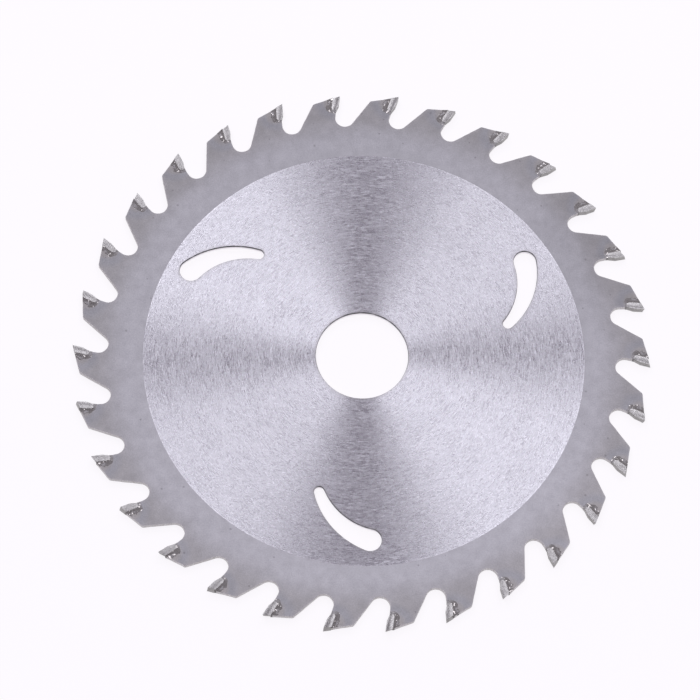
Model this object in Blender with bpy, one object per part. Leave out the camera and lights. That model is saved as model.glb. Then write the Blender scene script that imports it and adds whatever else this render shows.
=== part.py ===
"""Circular saw blade with brazed carbide tips, 125 mm across, for a 20 mm arbor.

The body is one flat steel plate: thirty teeth with their gullets, a bore and three curved expansion
slots. A seat is cut into the front of each tooth, a carbide tip stands in it, and a low bead of
braze runs round the tip's back and foot on both faces of the plate. The blade lies in the XY plane
with its bore on the Z axis, and cuts clockwise seen from +Z. The tips' top bevels lean to one face
and the other by turns.
"""

import math

import bmesh
import bpy
from mathutils import Matrix, Vector

MM = 0.001

# Blade
CUTTING_DIAMETER = 125.0 * MM
BORE_DIAMETER = 20.0 * MM
PLATE_THICKNESS = 1.2 * MM
TOOTH_COUNT = 30

# Carbide tip. Lengths along its front, or rake face, start at the cutting corner.
KERF = 1.8 * MM
TIP_LENGTH = 3.95 * MM
TIP_THICKNESS = 1.5 * MM
TIP_HEEL_RADIUS = 0.6 * MM
RAKE_LENGTH = 2.35 * MM
HOOK_ANGLE = math.radians(12.0)
FRONT_RELIEF = math.radians(16.0)
TOP_CLEARANCE = math.radians(15.0)
TOP_BEVEL = math.radians(10.0)
RADIAL_CLEARANCE = math.radians(1.0)
TANGENTIAL_CLEARANCE = math.radians(2.0)
SEAT_GAP = 0.3 * MM

# Tooth form of the plate. The nose is the end of the ledge under the tip, and the tooth's front
# leans back from it to the gullet.
NOSE_SETBACK = 0.4 * MM
FACE_LEAN = math.radians(8.0)
GULLET_BELOW_NOSE = 3.63 * MM
GULLET_RADIUS = 2.1 * MM
BODY_STEP = 0.08 * MM
BODY_RELIEF = math.radians(16.0)
TOOTH_LENGTH = 6.16 * MM
SHOULDER_RADIUS = 0.7 * MM

# Braze bead on the plate's faces, a little lower than the tip's heel
BEAD_BELOW_TIP = 0.04 * MM
BEAD_ROUNDING = 0.1 * MM
BEAD_WIDTH_BEHIND = 0.62 * MM
BEAD_WIDTH_BELOW = 0.42 * MM
BEAD_MARGIN = 0.05 * MM

# Expansion slots. Each narrows from its outer to its inner end along a bowed centre line, and is
# placed from the gullets' bottoms inward.
SLOT_COUNT = 3
SLOT_RIM_DISTANCE = 12.7 * MM
SLOT_DEPTH = 9.5 * MM
SLOT_OUTER_WIDTH = 5.0 * MM
SLOT_INNER_WIDTH = 2.3 * MM
SLOT_BOW_RADIUS = 16.4 * MM
SLOT_ANGLE = math.radians(33.8)
SLOT_SWEEP = math.radians(18.5)

# Points on the round stretches
BORE_STEPS = 96
GULLET_STEPS = 14
SLOT_SIDE_STEPS = 10
SLOT_END_STEPS = 8
CORNER_STEPS = 4

# Looks
STEEL_COLOUR = (0.50, 0.49, 0.52, 1.0)
STEEL_ROUGHNESS = 0.35
CARBIDE_COLOUR = (0.36, 0.35, 0.35, 1.0)
CARBIDE_ROUGHNESS = 0.40
BRAZE_COLOUR = (0.30, 0.26, 0.20, 1.0)
BRAZE_ROUGHNESS = 0.60

WELD_DISTANCE = 0.001 * MM
CUT_TOLERANCE = 0.0001 * MM


def metal(name, colour, roughness):
    """A plain metal."""
    made = bpy.data.materials.new(name)
    made.use_nodes = True
    shader = made.node_tree.nodes["Principled BSDF"]
    shader.inputs["Base Color"].default_value = colour
    shader.inputs["Roughness"].default_value = roughness
    shader.inputs["Metallic"].default_value = 1.0
    made.diffuse_color = colour
    return made


def unit(angle):
    """Unit vector at an angle from the first axis."""
    return Vector((math.cos(angle), math.sin(angle)))


def side_of(vector):
    """The vector turned a quarter turn counter-clockwise."""
    return Vector((-vector.y, vector.x))


def turned(point, angle):
    """The point turned counter-clockwise round the blade's axis."""
    return Matrix.Rotation(angle, 2) @ point


def arc(centre, first, last, steps, turn):
    """Points from first to last round a centre; turn is 1 for counter-clockwise, -1 for clockwise."""
    start = first - centre
    start_angle = math.atan2(start.y, start.x)
    end = last - centre
    sweep = (math.atan2(end.y, end.x) - start_angle) * turn % math.tau
    return [centre + start.length * unit(start_angle + turn * sweep * step / steps)
            for step in range(steps + 1)]


def fillet(before, corner, after, radius, steps):
    """Points of an arc that rounds a corner between two straight lines."""
    back = (before - corner).normalized()
    ahead = (after - corner).normalized()
    half_angle = back.angle(ahead) / 2
    centre = corner + (back + ahead).normalized() * radius / math.sin(half_angle)
    reach = radius / math.tan(half_angle)
    turn = 1 if side_of(-back).dot(ahead) > 0 else -1
    return arc(centre, corner + back * reach, corner + ahead * reach, steps, turn)


def tangent_point(point, centre, radius, turn):
    """Where a line from the point touches a circle, on the side that turn picks."""
    away = point - centre
    angle = math.atan2(away.y, away.x) + turn * math.acos(radius / away.length)
    return centre + radius * unit(angle)


def crossing(point, along, other, other_along):
    """Where two lines cross, each given by a point and a direction."""
    normal = side_of(other_along)
    return point + along * (other - point).dot(normal) / along.dot(normal)


# Tooth frame: first axis in the cutting direction, second axis outward through the cutting corner.
# Tip frame: behind is the distance back from the rake face, down the distance along it.
CORNER = Vector((0.0, CUTTING_DIAMETER / 2))
ALONG_RAKE = Vector((math.sin(HOOK_ANGLE), math.cos(HOOK_ANGLE)))
BEHIND_RAKE = side_of(ALONG_RAKE)
PITCH = math.tau / TOOTH_COUNT


def at_tip(behind, down):
    """A place in the tip frame, as a point of the tooth frame."""
    return CORNER + BEHIND_RAKE * behind - ALONG_RAKE * down


def body_back():
    """A point of the tooth's straight back behind the tip, and its direction."""
    top_slope = -unit(TOP_CLEARANCE)
    tip_back = crossing(CORNER, top_slope, at_tip(TIP_THICKNESS, 0.0), ALONG_RAKE)
    return tip_back - Vector((0.0, BODY_STEP)), -unit(BODY_RELIEF)


def seat_corners():
    """Nose, inner corner and top of the seat that the tip stands in."""
    back_point, back_slope = body_back()
    wall = TIP_THICKNESS + SEAT_GAP
    ledge = TIP_LENGTH + SEAT_GAP
    top = crossing(back_point, back_slope, at_tip(wall, 0.0), ALONG_RAKE)
    return at_tip(NOSE_SETBACK, ledge), at_tip(wall, ledge), top


def gullet_centre():
    """Centre of the gullet before the tooth, whose edge runs into the tooth's front."""
    nose = seat_corners()[0]
    height = nose.y - GULLET_BELOW_NOSE + GULLET_RADIUS
    front = nose.x - (nose.y - height) * math.tan(FACE_LEAN)
    return Vector((front + GULLET_RADIUS / math.cos(FACE_LEAN), height))


def tooth_outline():
    """One tooth of the plate in its own frame, from the gullet before it to its shoulder."""
    gullet = gullet_centre()
    nose, inner, top = seat_corners()
    back_point, back_slope = body_back()
    shoulder = back_point + back_slope * (back_point.x + TOOTH_LENGTH) / -back_slope.x
    next_foot = tangent_point(shoulder, turned(gullet, PITCH), GULLET_RADIUS, -1)
    first_foot = turned(next_foot, -PITCH)
    front_foot = tangent_point(nose, gullet, GULLET_RADIUS, 1)
    points = arc(gullet, first_foot, front_foot, GULLET_STEPS, -1)
    points.append(nose)
    points += fillet(nose, inner, top, TIP_HEEL_RADIUS + SEAT_GAP, CORNER_STEPS)
    points.append(top)
    points += fillet(top, shoulder, next_foot, SHOULDER_RADIUS, CORNER_STEPS)
    return points


def toothed_rim():
    """The plate's outer outline, tooth by tooth, with a cutting corner on +X."""
    tooth = tooth_outline()
    return [turned(point, number * PITCH - math.pi / 2)
            for number in range(TOOTH_COUNT) for point in tooth]


def bore_outline():
    """The round bore."""
    return [BORE_DIAMETER / 2 * unit(math.tau * step / BORE_STEPS) for step in range(BORE_STEPS)]


def slot_outline():
    """One expansion slot: the edge of a disc that shrinks as it runs along a bowed line."""
    outer_radius = gullet_centre().length - GULLET_RADIUS - SLOT_RIM_DISTANCE
    outer_end = outer_radius * unit(SLOT_ANGLE)
    inner_end = (outer_radius - SLOT_DEPTH) * unit(SLOT_ANGLE - SLOT_SWEEP)
    chord = inner_end - outer_end
    toward_bore = -side_of(chord).normalized()
    depth = math.sqrt(SLOT_BOW_RADIUS ** 2 - (chord.length / 2) ** 2)
    bow_centre = (outer_end + inner_end) / 2 + toward_bore * depth
    line = arc(bow_centre, outer_end, inner_end, SLOT_SIDE_STEPS, -1)
    line_length = SLOT_BOW_RADIUS * 2 * math.asin(chord.length / 2 / SLOT_BOW_RADIUS)
    lean = math.asin((SLOT_OUTER_WIDTH - SLOT_INNER_WIDTH) / 2 / line_length)
    outer_side = []
    inner_side = []
    for step, point in enumerate(line):
        half_width = (SLOT_OUTER_WIDTH + (SLOT_INNER_WIDTH - SLOT_OUTER_WIDTH) * step / SLOT_SIDE_STEPS) / 2
        outward = (point - bow_centre).normalized()
        ahead = -side_of(outward)
        lift = ahead * math.sin(lean)
        outer_side.append(point + half_width * (lift + outward * math.cos(lean)))
        inner_side.append(point + half_width * (lift - outward * math.cos(lean)))
    inner_cap = arc(inner_end, outer_side[-1], inner_side[-1], SLOT_END_STEPS, -1)
    outer_cap = arc(outer_end, inner_side[0], outer_side[0], SLOT_END_STEPS, -1)
    return outer_side[:-1] + inner_cap + inner_side[-2:0:-1] + outer_cap[:-1]


def bead_outline():
    """Crest of one braze bead in the tooth frame: an L behind the tip and under its foot."""
    back_point, back_slope = body_back()
    edge = BEAD_MARGIN + BEAD_ROUNDING
    seat_radius = TIP_HEEL_RADIUS + SEAT_GAP
    near_wall = TIP_THICKNESS + SEAT_GAP + edge
    near_ledge = TIP_LENGTH + SEAT_GAP + edge
    far_wall = TIP_THICKNESS + SEAT_GAP + BEAD_WIDTH_BEHIND - BEAD_ROUNDING
    far_ledge = TIP_LENGTH + SEAT_GAP + BEAD_WIDTH_BELOW - BEAD_ROUNDING
    front = (NOSE_SETBACK + TIP_THICKNESS + SEAT_GAP - seat_radius) / 2
    end_point = back_point - side_of(-back_slope) * edge
    near_top = crossing(end_point, back_slope, at_tip(near_wall, 0.0), ALONG_RAKE)
    far_top = crossing(end_point, back_slope, at_tip(far_wall, 0.0), ALONG_RAKE)
    near_front = at_tip(front, near_ledge)
    far_front = at_tip(front, far_ledge)
    near_radius = seat_radius + edge
    far_radius = near_radius + far_wall - near_wall
    near_side = fillet(near_front, at_tip(near_wall, near_ledge), near_top, near_radius, CORNER_STEPS)
    far_side = fillet(far_top, at_tip(far_wall, far_ledge), far_front, far_radius, CORNER_STEPS)
    return [near_front] + near_side + [near_top, far_top] + far_side + [far_front]


def curve_body(name, outlines, half_extrude, rounding):
    """A mesh object from flat closed outlines, extruded both ways, with its caps welded on."""
    curve = bpy.data.curves.new(name, "CURVE")
    curve.dimensions = "2D"
    curve.fill_mode = "BOTH"
    curve.extrude = half_extrude
    curve.bevel_depth = rounding
    curve.bevel_resolution = 0
    for outline in outlines:
        spline = curve.splines.new("POLY")
        spline.points.add(len(outline) - 1)
        for place, point in zip(spline.points, outline):
            place.co = (point.x, point.y, 0.0, 1.0)
        spline.use_cyclic_u = True
    drawn = bpy.data.objects.new(name + "_outline", curve)
    bpy.context.scene.collection.objects.link(drawn)
    graph = bpy.context.evaluated_depsgraph_get()
    mesh = bpy.data.meshes.new_from_object(drawn.evaluated_get(graph))
    weld = bmesh.new()
    weld.from_mesh(mesh)
    bmesh.ops.remove_doubles(weld, verts=weld.verts, dist=WELD_DISTANCE)
    bmesh.ops.recalc_face_normals(weld, faces=weld.faces)
    weld.to_mesh(mesh)
    weld.free()
    mesh.name = name
    body = bpy.data.objects.new(name, mesh)
    body.matrix_world = drawn.matrix_world.copy()
    bpy.data.objects.remove(drawn)
    return body


def braze_beads(cutters, braze):
    """All the beads as one body that reaches through the plate and stands proud of both faces."""
    crest = bead_outline()
    outlines = [[turned(point, number * PITCH - math.pi / 2) for point in crest]
                for number in range(TOOTH_COUNT)]
    narrowing = TIP_LENGTH * math.tan(RADIAL_CLEARANCE) + TIP_THICKNESS * math.tan(TANGENTIAL_CLEARANCE)
    half_thickness = KERF / 2 - narrowing - BEAD_BELOW_TIP
    beads = curve_body("braze_beads", outlines, half_thickness - BEAD_ROUNDING, BEAD_ROUNDING)
    beads.data.materials.clear()
    beads.data.materials.append(braze)
    beads.hide_render = True
    beads.display_type = "WIRE"
    cutters.objects.link(beads)
    return beads


def blade_body(parts, cutters, steel, braze):
    """The plate with its teeth, bore and slots, and the braze beads joined to it."""
    turns = [math.tau * number / SLOT_COUNT for number in range(SLOT_COUNT)]
    slot = slot_outline()
    slots = [[turned(point, angle) for point in slot] for angle in turns]
    outlines = [toothed_rim(), bore_outline()] + slots
    body = curve_body("blade_body", outlines, PLATE_THICKNESS / 2, 0.0)
    body.data.materials.clear()
    body.data.materials.append(steel)
    parts.objects.link(body)
    join = body.modifiers.new("join_braze", "BOOLEAN")
    join.operation = "UNION"
    join.solver = "EXACT"
    join.material_mode = "TRANSFER"
    join.object = braze_beads(cutters, braze)
    return body


def grind(tip, point, normal):
    """Cut away what lies past a plane and close the flat that is left."""
    everything = tip.verts[:] + tip.edges[:] + tip.faces[:]
    cut = bmesh.ops.bisect_plane(tip, geom=everything, dist=CUT_TOLERANCE, plane_co=point,
                                 plane_no=normal, clear_outer=True)
    rim = [item for item in cut["geom_cut"] if isinstance(item, bmesh.types.BMEdge)]
    bmesh.ops.edgeloop_fill(tip, edges=rim)


def tip_mesh(name, high_side, carbide):
    """A carbide tip: a rectangular blank with a round heel, ground on its top, sides and front.

    Its origin is at the cutting edge in the middle of the kerf, X is the cutting direction and Y
    points outward. The cutting corner is on the face that high_side gives, 1 or -1.
    """
    along = ALONG_RAKE.to_3d()
    behind = BEHIND_RAKE.to_3d()
    across = Vector((0.0, 0.0, 1.0))
    stock = TIP_THICKNESS
    length = TIP_LENGTH + stock
    middle = behind * TIP_THICKNESS / 2 + along * (stock - TIP_LENGTH) / 2
    frame = Matrix((behind * TIP_THICKNESS, along * length, across * KERF)).transposed().to_4x4()
    tip = bmesh.new()
    bmesh.ops.create_cube(tip, size=1.0, matrix=Matrix.Translation(middle) @ frame)

    heel = behind * TIP_THICKNESS - along * TIP_LENGTH
    middles = {edge: (edge.verts[0].co + edge.verts[1].co) / 2 for edge in tip.edges}
    heel_edge = min(tip.edges, key=lambda edge: (middles[edge] - heel).length)
    bmesh.ops.bevel(tip, geom=[heel_edge], offset=TIP_HEEL_RADIUS, segments=CORNER_STEPS, profile=0.5,
                    affect="EDGES", clamp_overlap=False)

    corner = across * high_side * KERF / 2
    grind(tip, corner, Vector((-math.tan(TOP_CLEARANCE), 1.0, -high_side * math.tan(TOP_BEVEL))))
    for side in (1, -1):
        slope = behind * math.tan(TANGENTIAL_CLEARANCE) - along * math.tan(RADIAL_CLEARANCE)
        grind(tip, across * side * KERF / 2, slope + across * side)
    chamfer = -behind * math.cos(FRONT_RELIEF) - along * math.sin(FRONT_RELIEF)
    grind(tip, -along * RAKE_LENGTH, chamfer)

    bmesh.ops.recalc_face_normals(tip, faces=tip.faces)
    mesh = bpy.data.meshes.new(name)
    tip.to_mesh(mesh)
    tip.free()
    mesh.materials.append(carbide)
    return mesh


def carbide_tips(parts, carbide):
    """The tips, one for each tooth, with the cutting corner on the lower face first."""
    meshes = (tip_mesh("tip_low_bevel", -1, carbide), tip_mesh("tip_high_bevel", 1, carbide))
    tips = []
    for number in range(TOOTH_COUNT):
        angle = number * PITCH
        tip = bpy.data.objects.new(f"carbide_tip_{number + 1:02d}", meshes[number % 2])
        tip.location = (CUTTING_DIAMETER / 2 * unit(angle)).to_3d()
        tip.rotation_euler.z = angle - math.pi / 2
        parts.objects.link(tip)
        tips.append(tip)
    return tips


def main():
    """Clear the scene and build the blade."""
    for old in list(bpy.data.objects):
        bpy.data.objects.remove(old)
    parts = bpy.data.collections.new("circular_saw_blade")
    cutters = bpy.data.collections.new("joined_bodies")
    for collection in (parts, cutters):
        bpy.context.scene.collection.children.link(collection)
    steel = metal("ground_steel", STEEL_COLOUR, STEEL_ROUGHNESS)
    carbide = metal("ground_carbide", CARBIDE_COLOUR, CARBIDE_ROUGHNESS)
    braze = metal("silver_braze", BRAZE_COLOUR, BRAZE_ROUGHNESS)
    arbor_axis = bpy.data.objects.new("arbor_axis", None)
    parts.objects.link(arbor_axis)
    pieces = [blade_body(parts, cutters, steel, braze)] + carbide_tips(parts, carbide)
    for piece in pieces:
        piece.parent = arbor_axis


main()
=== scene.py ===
"""Circular saw blade with brazed carbide tips, dressed for a product photograph.

The plate is cut, ground and blasted anew round the packed model, with finer curves and broken edges.
Each carbide tip is ground from its own blank, and a bead of braze fills the joint round it. The
finishes are node materials: a disc ground in circles, a blasted ring, cut edges, sintered carbide and
oxidised braze.
"""

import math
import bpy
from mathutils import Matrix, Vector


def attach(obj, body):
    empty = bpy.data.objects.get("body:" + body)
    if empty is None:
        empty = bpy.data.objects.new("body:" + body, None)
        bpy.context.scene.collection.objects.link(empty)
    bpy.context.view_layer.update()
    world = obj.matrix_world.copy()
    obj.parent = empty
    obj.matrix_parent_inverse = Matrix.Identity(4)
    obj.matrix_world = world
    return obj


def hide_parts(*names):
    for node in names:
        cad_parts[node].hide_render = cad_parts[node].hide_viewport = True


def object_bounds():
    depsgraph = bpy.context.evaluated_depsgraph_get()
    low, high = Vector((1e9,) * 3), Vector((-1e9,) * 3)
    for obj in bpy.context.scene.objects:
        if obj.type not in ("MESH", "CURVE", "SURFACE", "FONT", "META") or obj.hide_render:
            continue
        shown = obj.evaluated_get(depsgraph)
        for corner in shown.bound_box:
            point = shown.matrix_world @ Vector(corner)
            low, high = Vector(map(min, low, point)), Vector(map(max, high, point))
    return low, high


bl_info = {
    "name": "Tipped Circular Saw Blade",
    "version": (1, 0, 0),
    "blender": (4, 5, 0),
    "location": "3D View > Sidebar > Saw Blade",
    "description": "Builds a tipped circular saw blade with ground, blasted, cut and brazed finishes",
    "category": "Add Mesh",
}

import bmesh
import bpy
from bpy.props import FloatProperty, FloatVectorProperty, IntProperty, PointerProperty
from mathutils import Matrix, Vector, geometry, kdtree, noise

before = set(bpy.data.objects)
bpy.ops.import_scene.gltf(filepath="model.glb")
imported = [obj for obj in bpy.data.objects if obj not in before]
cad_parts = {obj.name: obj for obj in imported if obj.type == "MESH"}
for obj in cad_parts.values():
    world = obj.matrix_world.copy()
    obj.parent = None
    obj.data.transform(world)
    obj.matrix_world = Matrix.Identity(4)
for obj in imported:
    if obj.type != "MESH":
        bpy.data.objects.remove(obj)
CAD_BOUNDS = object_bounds()

MM = 0.001
BODY = "root"
PLATE_NODE = "blade_body"
TIP_NODES = sorted(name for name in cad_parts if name.startswith("carbide_tip_"))


def packed_size(axis):
    """Size of the packed model along an axis, in millimetres."""
    return round((CAD_BOUNDS[1][axis] - CAD_BOUNDS[0][axis]) / MM, 3)


# Property makers

def length(name, description, millimetres):
    """A length, given in millimetres and kept in metres."""
    return FloatProperty(name=name, description=description, default=millimetres * MM, unit="LENGTH",
                         precision=5)


def distance(name, description, metres):
    """A large length in metres."""
    return FloatProperty(name=name, description=description, default=metres, unit="LENGTH")


def angle(name, description, degrees):
    """An angle, given in degrees and kept in radians."""
    return FloatProperty(name=name, description=description, default=math.radians(degrees),
                         unit="ROTATION")


def amount(name, description, value):
    """A plain number."""
    return FloatProperty(name=name, description=description, default=value)


def share(name, description, value):
    """A part of one."""
    return FloatProperty(name=name, description=description, default=value, min=0.0, max=1.0,
                         subtype="FACTOR")


def colour(name, description, value):
    """A linear colour."""
    return FloatVectorProperty(name=name, description=description, default=value, size=3, min=0.0,
                               soft_max=1.0, subtype="COLOR")


class PlateSettings(bpy.types.PropertyGroup):
    """Sizes of the steel plate."""
    cutting_diameter: length("Cutting diameter", "Circle through the cutting corners", packed_size(0))
    bore_diameter: length("Bore diameter", "Round hole for the arbor", 20.0)
    thickness: length("Thickness", "Thickness of the plate", 1.2)
    edge_round: length("Edge round", "Width of the broken edge round both faces", 0.07)
    edge_waviness: length("Edge waviness", "How far the cut edge wanders", 0.035)
    wave_length: length("Wave length", "Distance over which the cut edge wanders", 1.3)
    point_spacing: length("Point spacing", "Distance between points on the cut edges", 0.3)
    disc_radius: length("Disc radius", "Outer radius of the ground disc", 47.7)
    disc_offset: FloatVectorProperty(name="Disc offset", description="Centre of the ground disc",
                                     default=(0.43 * MM, -0.20 * MM), size=2, unit="LENGTH")
    fine_grid: length("Fine grid", "Spacing of the faces' points near an edge", 0.55)
    fine_reach: length("Fine reach", "How far from an edge the fine points go", 2.4)


class ToothSettings(bpy.types.PropertyGroup):
    """Form of the teeth in the plate."""
    count: IntProperty(name="Teeth", description="Number of teeth", default=len(TIP_NODES), min=3)
    hook_angle: angle("Hook angle", "Lean of the rake face from the radius", 12.0)
    seat_gap: length("Seat gap", "Gap between a tip and its seat", 0.3)
    nose_setback: length("Nose setback", "Distance of the tooth's nose behind the rake face", 0.4)
    face_lean: angle("Face lean", "Lean of the tooth's front below its nose", 8.0)
    gullet_below_nose: length("Gullet depth", "Depth of the gullet below the nose", 3.63)
    gullet_radius: length("Gullet radius", "Radius of the gullet", 2.1)
    body_step: length("Body step", "Height by which the tip stands over the tooth's back", 0.08)
    body_relief: angle("Body relief", "Fall of the tooth's back", 16.0)
    tooth_length: length("Tooth length", "Length of the tooth's back", 6.16)
    shoulder_radius: length("Shoulder radius", "Rounding of the tooth's shoulder", 0.7)


class SlotSettings(bpy.types.PropertyGroup):
    """Form of the expansion slots."""
    count: IntProperty(name="Slots", description="Number of slots", default=3, min=1)
    rim_distance: length("Rim distance", "Distance of the wide end from the gullets", 12.7)
    depth: length("Depth", "Radial distance between the two ends", 9.5)
    outer_width: length("Outer width", "Width at the wide end", 5.0)
    inner_width: length("Inner width", "Width at the narrow end", 2.3)
    bow_radius: length("Bow radius", "Radius of the bowed centre line", 16.4)
    first_angle: angle("First angle", "Place of the first slot round the blade", 33.8)
    sweep: angle("Sweep", "Angle between the two ends", 18.5)


class TipSettings(bpy.types.PropertyGroup):
    """Form of the carbide tips."""
    kerf: length("Kerf", "Width across the cutting edge", packed_size(2))
    tip_length: length("Length", "Length along the rake face", 3.95)
    tip_thickness: length("Thickness", "Thickness behind the rake face", 1.5)
    heel_radius: length("Heel radius", "Rounding of the heel", 0.6)
    rake_length: length("Rake length", "Length of the rake face above its relief", 2.35)
    front_relief: angle("Front relief", "Lean of the lower front", 16.0)
    top_clearance: angle("Top clearance", "Fall of the top", 15.0)
    top_bevel: angle("Top bevel", "Lean of the top to one side", 10.0)
    radial_clearance: angle("Radial clearance", "Narrowing of the sides towards the foot", 1.0)
    tangential_clearance: angle("Tangential clearance", "Narrowing of the sides to the back", 2.0)
    edge_break: length("Edge break", "Width of the broken edges", 0.035)
    placing_error: length("Placing error", "How far a tip stands off its true place", 0.035)
    leaning_error: angle("Leaning error", "How far a tip leans off its true direction", 0.8)


class BrazeSettings(bpy.types.PropertyGroup):
    """Form of the braze round each tip."""
    width_behind: length("Width behind", "Reach of the braze behind the tip", 1.22)
    width_below: length("Width below", "Reach of the braze under the tip", 0.66)
    overlap: length("Overlap", "How far the braze runs under the tip's edge", 0.06)
    drop: length("Drop", "Height by which the braze stays under the tip's side", 0.03)
    lump_height: length("Lump height", "Height of the lumps in the braze", 0.07)
    lump_size: length("Lump size", "Size of the lumps in the braze", 0.45)
    ragged: share("Ragged edge", "How unevenly the braze runs out", 0.24)


class FinishSettings(bpy.types.PropertyGroup):
    """Colours and roughness of the surfaces."""
    ground_steel: colour("Ground steel", "Colour of the ground disc", (0.750, 0.745, 0.788))
    ground_dark: colour("Ground steel, deep lines", "Colour in the deeper grinding lines",
                        (0.503, 0.499, 0.530))
    bright_streak: colour("Bright streak", "Colour of the brightest grinding lines", (0.95, 0.94, 0.98))
    scratched_steel: colour("Scratched steel", "Colour of scratches on the disc", (0.80, 0.78, 0.82))
    # Painted highlight: the colour of a bright line just inside the edge of the ground disc
    painted_rim_highlight: colour("Rim line", "Colour of the line where the grinding stopped", (0.88, 0.87, 0.91))
    ground_roughness: share("Ground roughness", "Roughness of the ground disc", 0.38)
    ground_direction: share("Ground direction", "How strongly the grinding lines stretch the gloss", 1.0)
    line_length: length("Line length", "Length of the grinding lines", 1.2)
    line_width: length("Line width", "Width of the grinding lines", 0.15)
    blasted_inner: colour("Blasted steel, inner", "Colour of the blasted ring beside the disc",
                          (0.354, 0.348, 0.369))
    blasted_outer: colour("Blasted steel, outer", "Colour of the blasted teeth", (0.283, 0.274, 0.280))
    # Painted light: the share by which the blasted ring is painted paler toward the near side
    painted_near_light: share("Blasting unevenness", "How much paler the blasting is at the near side",
                              0.075)
    blasted_roughness: share("Blasted roughness", "Roughness of the blasted ring", 0.62)
    steel_pit: colour("Steel pit", "Colour of the pits in the blasted steel", (0.12, 0.11, 0.12))
    cut_steel: colour("Cut edge", "Colour of the cut edges", (0.60, 0.585, 0.60))
    burnt_steel: colour("Burnt edge", "Colour of the heat stain beside the cuts", (0.42, 0.40, 0.40))
    clean_cut: colour("Clean cut", "Colour of the walls of the slots and the bore", (0.93, 0.91, 0.94))
    # Painted shade: a near-black colour for the upper part of the slots' and bore's walls
    painted_wall_shade: colour("Broken edge", "Colour of the slots' and bore's walls where the cut came out",
                        (0.050, 0.048, 0.054))
    cut_roughness: share("Cut roughness", "Roughness of the cut edges", 0.48)
    heat_straw: colour("Straw heat tint", "Tint of the steel close to a tip", (1.0, 0.975, 0.925))
    heat_blue: colour("Blue heat tint", "Tint of the steel round the straw one", (0.945, 0.965, 1.0))
    carbide: colour("Carbide", "Colour of the ground carbide", (0.415, 0.407, 0.400))
    carbide_dark: colour("Carbide, dull", "Colour of the dull patches", (0.325, 0.318, 0.312))
    carbide_pit: colour("Carbide pit", "Colour of the pits in the carbide", (0.08, 0.08, 0.08))
    carbide_direction: share("Carbide direction", "How strongly the grinding stretches the gloss", 0.95)
    carbide_roughness: share("Carbide roughness", "Roughness of the ground carbide", 0.41)
    braze_oxide: colour("Braze oxide", "Colour of the oxidised braze", (0.150, 0.140, 0.138))
    braze_bright: colour("Braze bright", "Colour of the clean silver braze", (0.62, 0.595, 0.57))


class StudioSettings(bpy.types.PropertyGroup):
    """Camera, lamps and ground."""
    camera_azimuth: angle("Camera azimuth", "Direction of the camera round the blade", -1.79)
    camera_elevation: angle("Camera elevation", "Height of the camera over the blade", 67.85)
    camera_roll: angle("Camera roll", "Turn of the camera round its line of sight", -3.638)
    camera_distance: distance("Camera distance", "Distance of the camera from the bore", 0.7631)
    camera_right: length("Camera right", "Shift of the camera to its right", -2.595)
    camera_up: length("Camera up", "Shift of the camera upward", 1.366)
    camera_lens: amount("Focal length", "Focal length in millimetres", 181.64)
    white: colour("White", "Colour of the ground and background", (0.991, 0.967, 1.0))
    shadow_share: share("Shadow share", "How much of the ground takes light and shadow", 0.10)
    ceiling: colour("Ceiling", "Light of the studio's ceiling", (0.400, 0.366, 0.428))
    ceiling_height: distance("Ceiling height", "Height of the ceiling", 1.6)
    ceiling_radius: distance("Ceiling radius", "Radius of the ceiling", 4.0)
    ground_radius: distance("Ground radius", "Radius of the ground", 6.0)
    lamp_distance: distance("Lamp distance", "Distance of the lamps from the blade", 1.0)
    lamp_height: distance("Lamp height", "Short side of the lamps", 0.40)
    lamp_colour: colour("Lamp colour", "Colour of the lamps", (1.0, 1.0, 1.065))
    strong_width: distance("Strong width", "Long side of the upper left and lower right lamps", 0.59)
    strong_power: amount("Strong power", "Watts of the upper left and lower right lamps", 2.2)
    weak_width: distance("Weak width", "Long side of the upper right and lower left lamps", 0.53)
    weak_power: amount("Weak power", "Watts of the upper right and lower left lamps", 1.7)


SETTINGS = {
    "saw_plate": PlateSettings,
    "saw_tooth": ToothSettings,
    "saw_slot": SlotSettings,
    "saw_tip": TipSettings,
    "saw_braze": BrazeSettings,
    "saw_finish": FinishSettings,
    "saw_studio": StudioSettings,
}

# Places in millimetres where the blasted ring is painted darker, as shade, or paler, as light, and by how
# much
PAINTED_LIGHT_AND_SHADE_SPOTS = (((51.0, 28.0, 0.0), -0.095), ((46.0, -39.0, 0.0), 0.07))

# Azimuth from the camera's right, elevation and roll of each lamp in degrees, and its strength
LAMPS = {
    "lamp_far_left": (119.1, 45.0, 117.0, "strong"),
    "lamp_near_right": (12.2, 66.6, 43.7, "strong"),
    "lamp_far_right": (65.3, 43.5, 66.2, "weak"),
    "lamp_near_left": (174.9, 69.4, 136.9, "weak"),
}


# Flat geometry

def unit(turn):
    """Unit vector at an angle from the first axis."""
    return Vector((math.cos(turn), math.sin(turn)))


def circle(centre, radius, steps):
    """Points at equal steps round a centre."""
    return [centre + radius * unit(math.tau * step / steps) for step in range(steps)]


def side_of(vector):
    """The vector turned a quarter turn counter-clockwise."""
    return Vector((-vector.y, vector.x))


def turned(point, turn):
    """The point turned counter-clockwise round the blade's axis."""
    return Matrix.Rotation(turn, 2) @ point


def arc(centre, first, last, steps, turn):
    """Points from first to last round a centre; turn is 1 for counter-clockwise, -1 for clockwise."""
    start = first - centre
    start_angle = math.atan2(start.y, start.x)
    end = last - centre
    sweep = (math.atan2(end.y, end.x) - start_angle) * turn % math.tau
    return [centre + start.length * unit(start_angle + turn * sweep * step / steps)
            for step in range(steps + 1)]


def fillet(before, corner, after, radius, steps):
    """Points of an arc that rounds a corner between two straight lines."""
    back = (before - corner).normalized()
    ahead = (after - corner).normalized()
    half_angle = back.angle(ahead) / 2
    centre = corner + (back + ahead).normalized() * radius / math.sin(half_angle)
    reach = radius / math.tan(half_angle)
    turn = 1 if side_of(-back).dot(ahead) > 0 else -1
    return arc(centre, corner + back * reach, corner + ahead * reach, steps, turn)


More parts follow.
